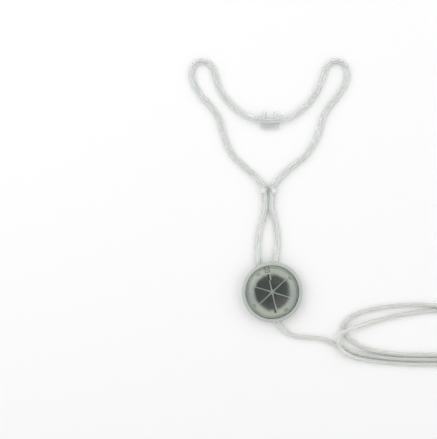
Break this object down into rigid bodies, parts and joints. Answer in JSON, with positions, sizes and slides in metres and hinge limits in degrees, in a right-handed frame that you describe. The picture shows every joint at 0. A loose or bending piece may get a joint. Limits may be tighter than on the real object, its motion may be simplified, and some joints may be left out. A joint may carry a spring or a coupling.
{
  "type": "nasal oxygen cannula",
  "caption": "Nasal oxygen cannula of clear tubing with nasal prongs, ear loops, a slider, a round pendant reservoir and a looped supply tube.",
  "frame": {"origin": "centre of the pendant's flat back, on the surface it lies on", "axes": "+Y from the pendant towards the nasal prongs, +X to the right seen from the front, +Z out of the pendant's front"},
  "size_m": [0.5348, 0.4478, 0.016],
  "materials": {
    "clear_tubing": "clear soft PVC tubing, extruded, glossy",
    "soft_moulding": "clear soft PVC, dip or injection moulded",
    "white_moulding": "milky white soft plastic moulding",
    "frosted_shell": "translucent frosted plastic shell with a slight green-grey tint",
    "membrane_film": "thin grey-green elastomer membrane"
  },
  "bodies": {
    "cannula": {"nasal_prongs": "soft_moulding", "cannula_tube_left": "clear_tubing", "cannula_tube_right": "clear_tubing", "pendant_back": "frosted_shell", "pendant_membrane": "membrane_film", "pendant_cover": "frosted_shell", "supply_tube": "clear_tubing", "supply_coil": "clear_tubing", "supply_tail": "clear_tubing", "supply_connector": "soft_moulding"},
    "slider": {"slider": "white_moulding"}
  },
  "joints": [
    {"name": "slider_slide", "type": "slide", "parent": "cannula", "child": "slider", "axis": [0, -1, 0], "range_m": [0, 0.016]}
  ]
}
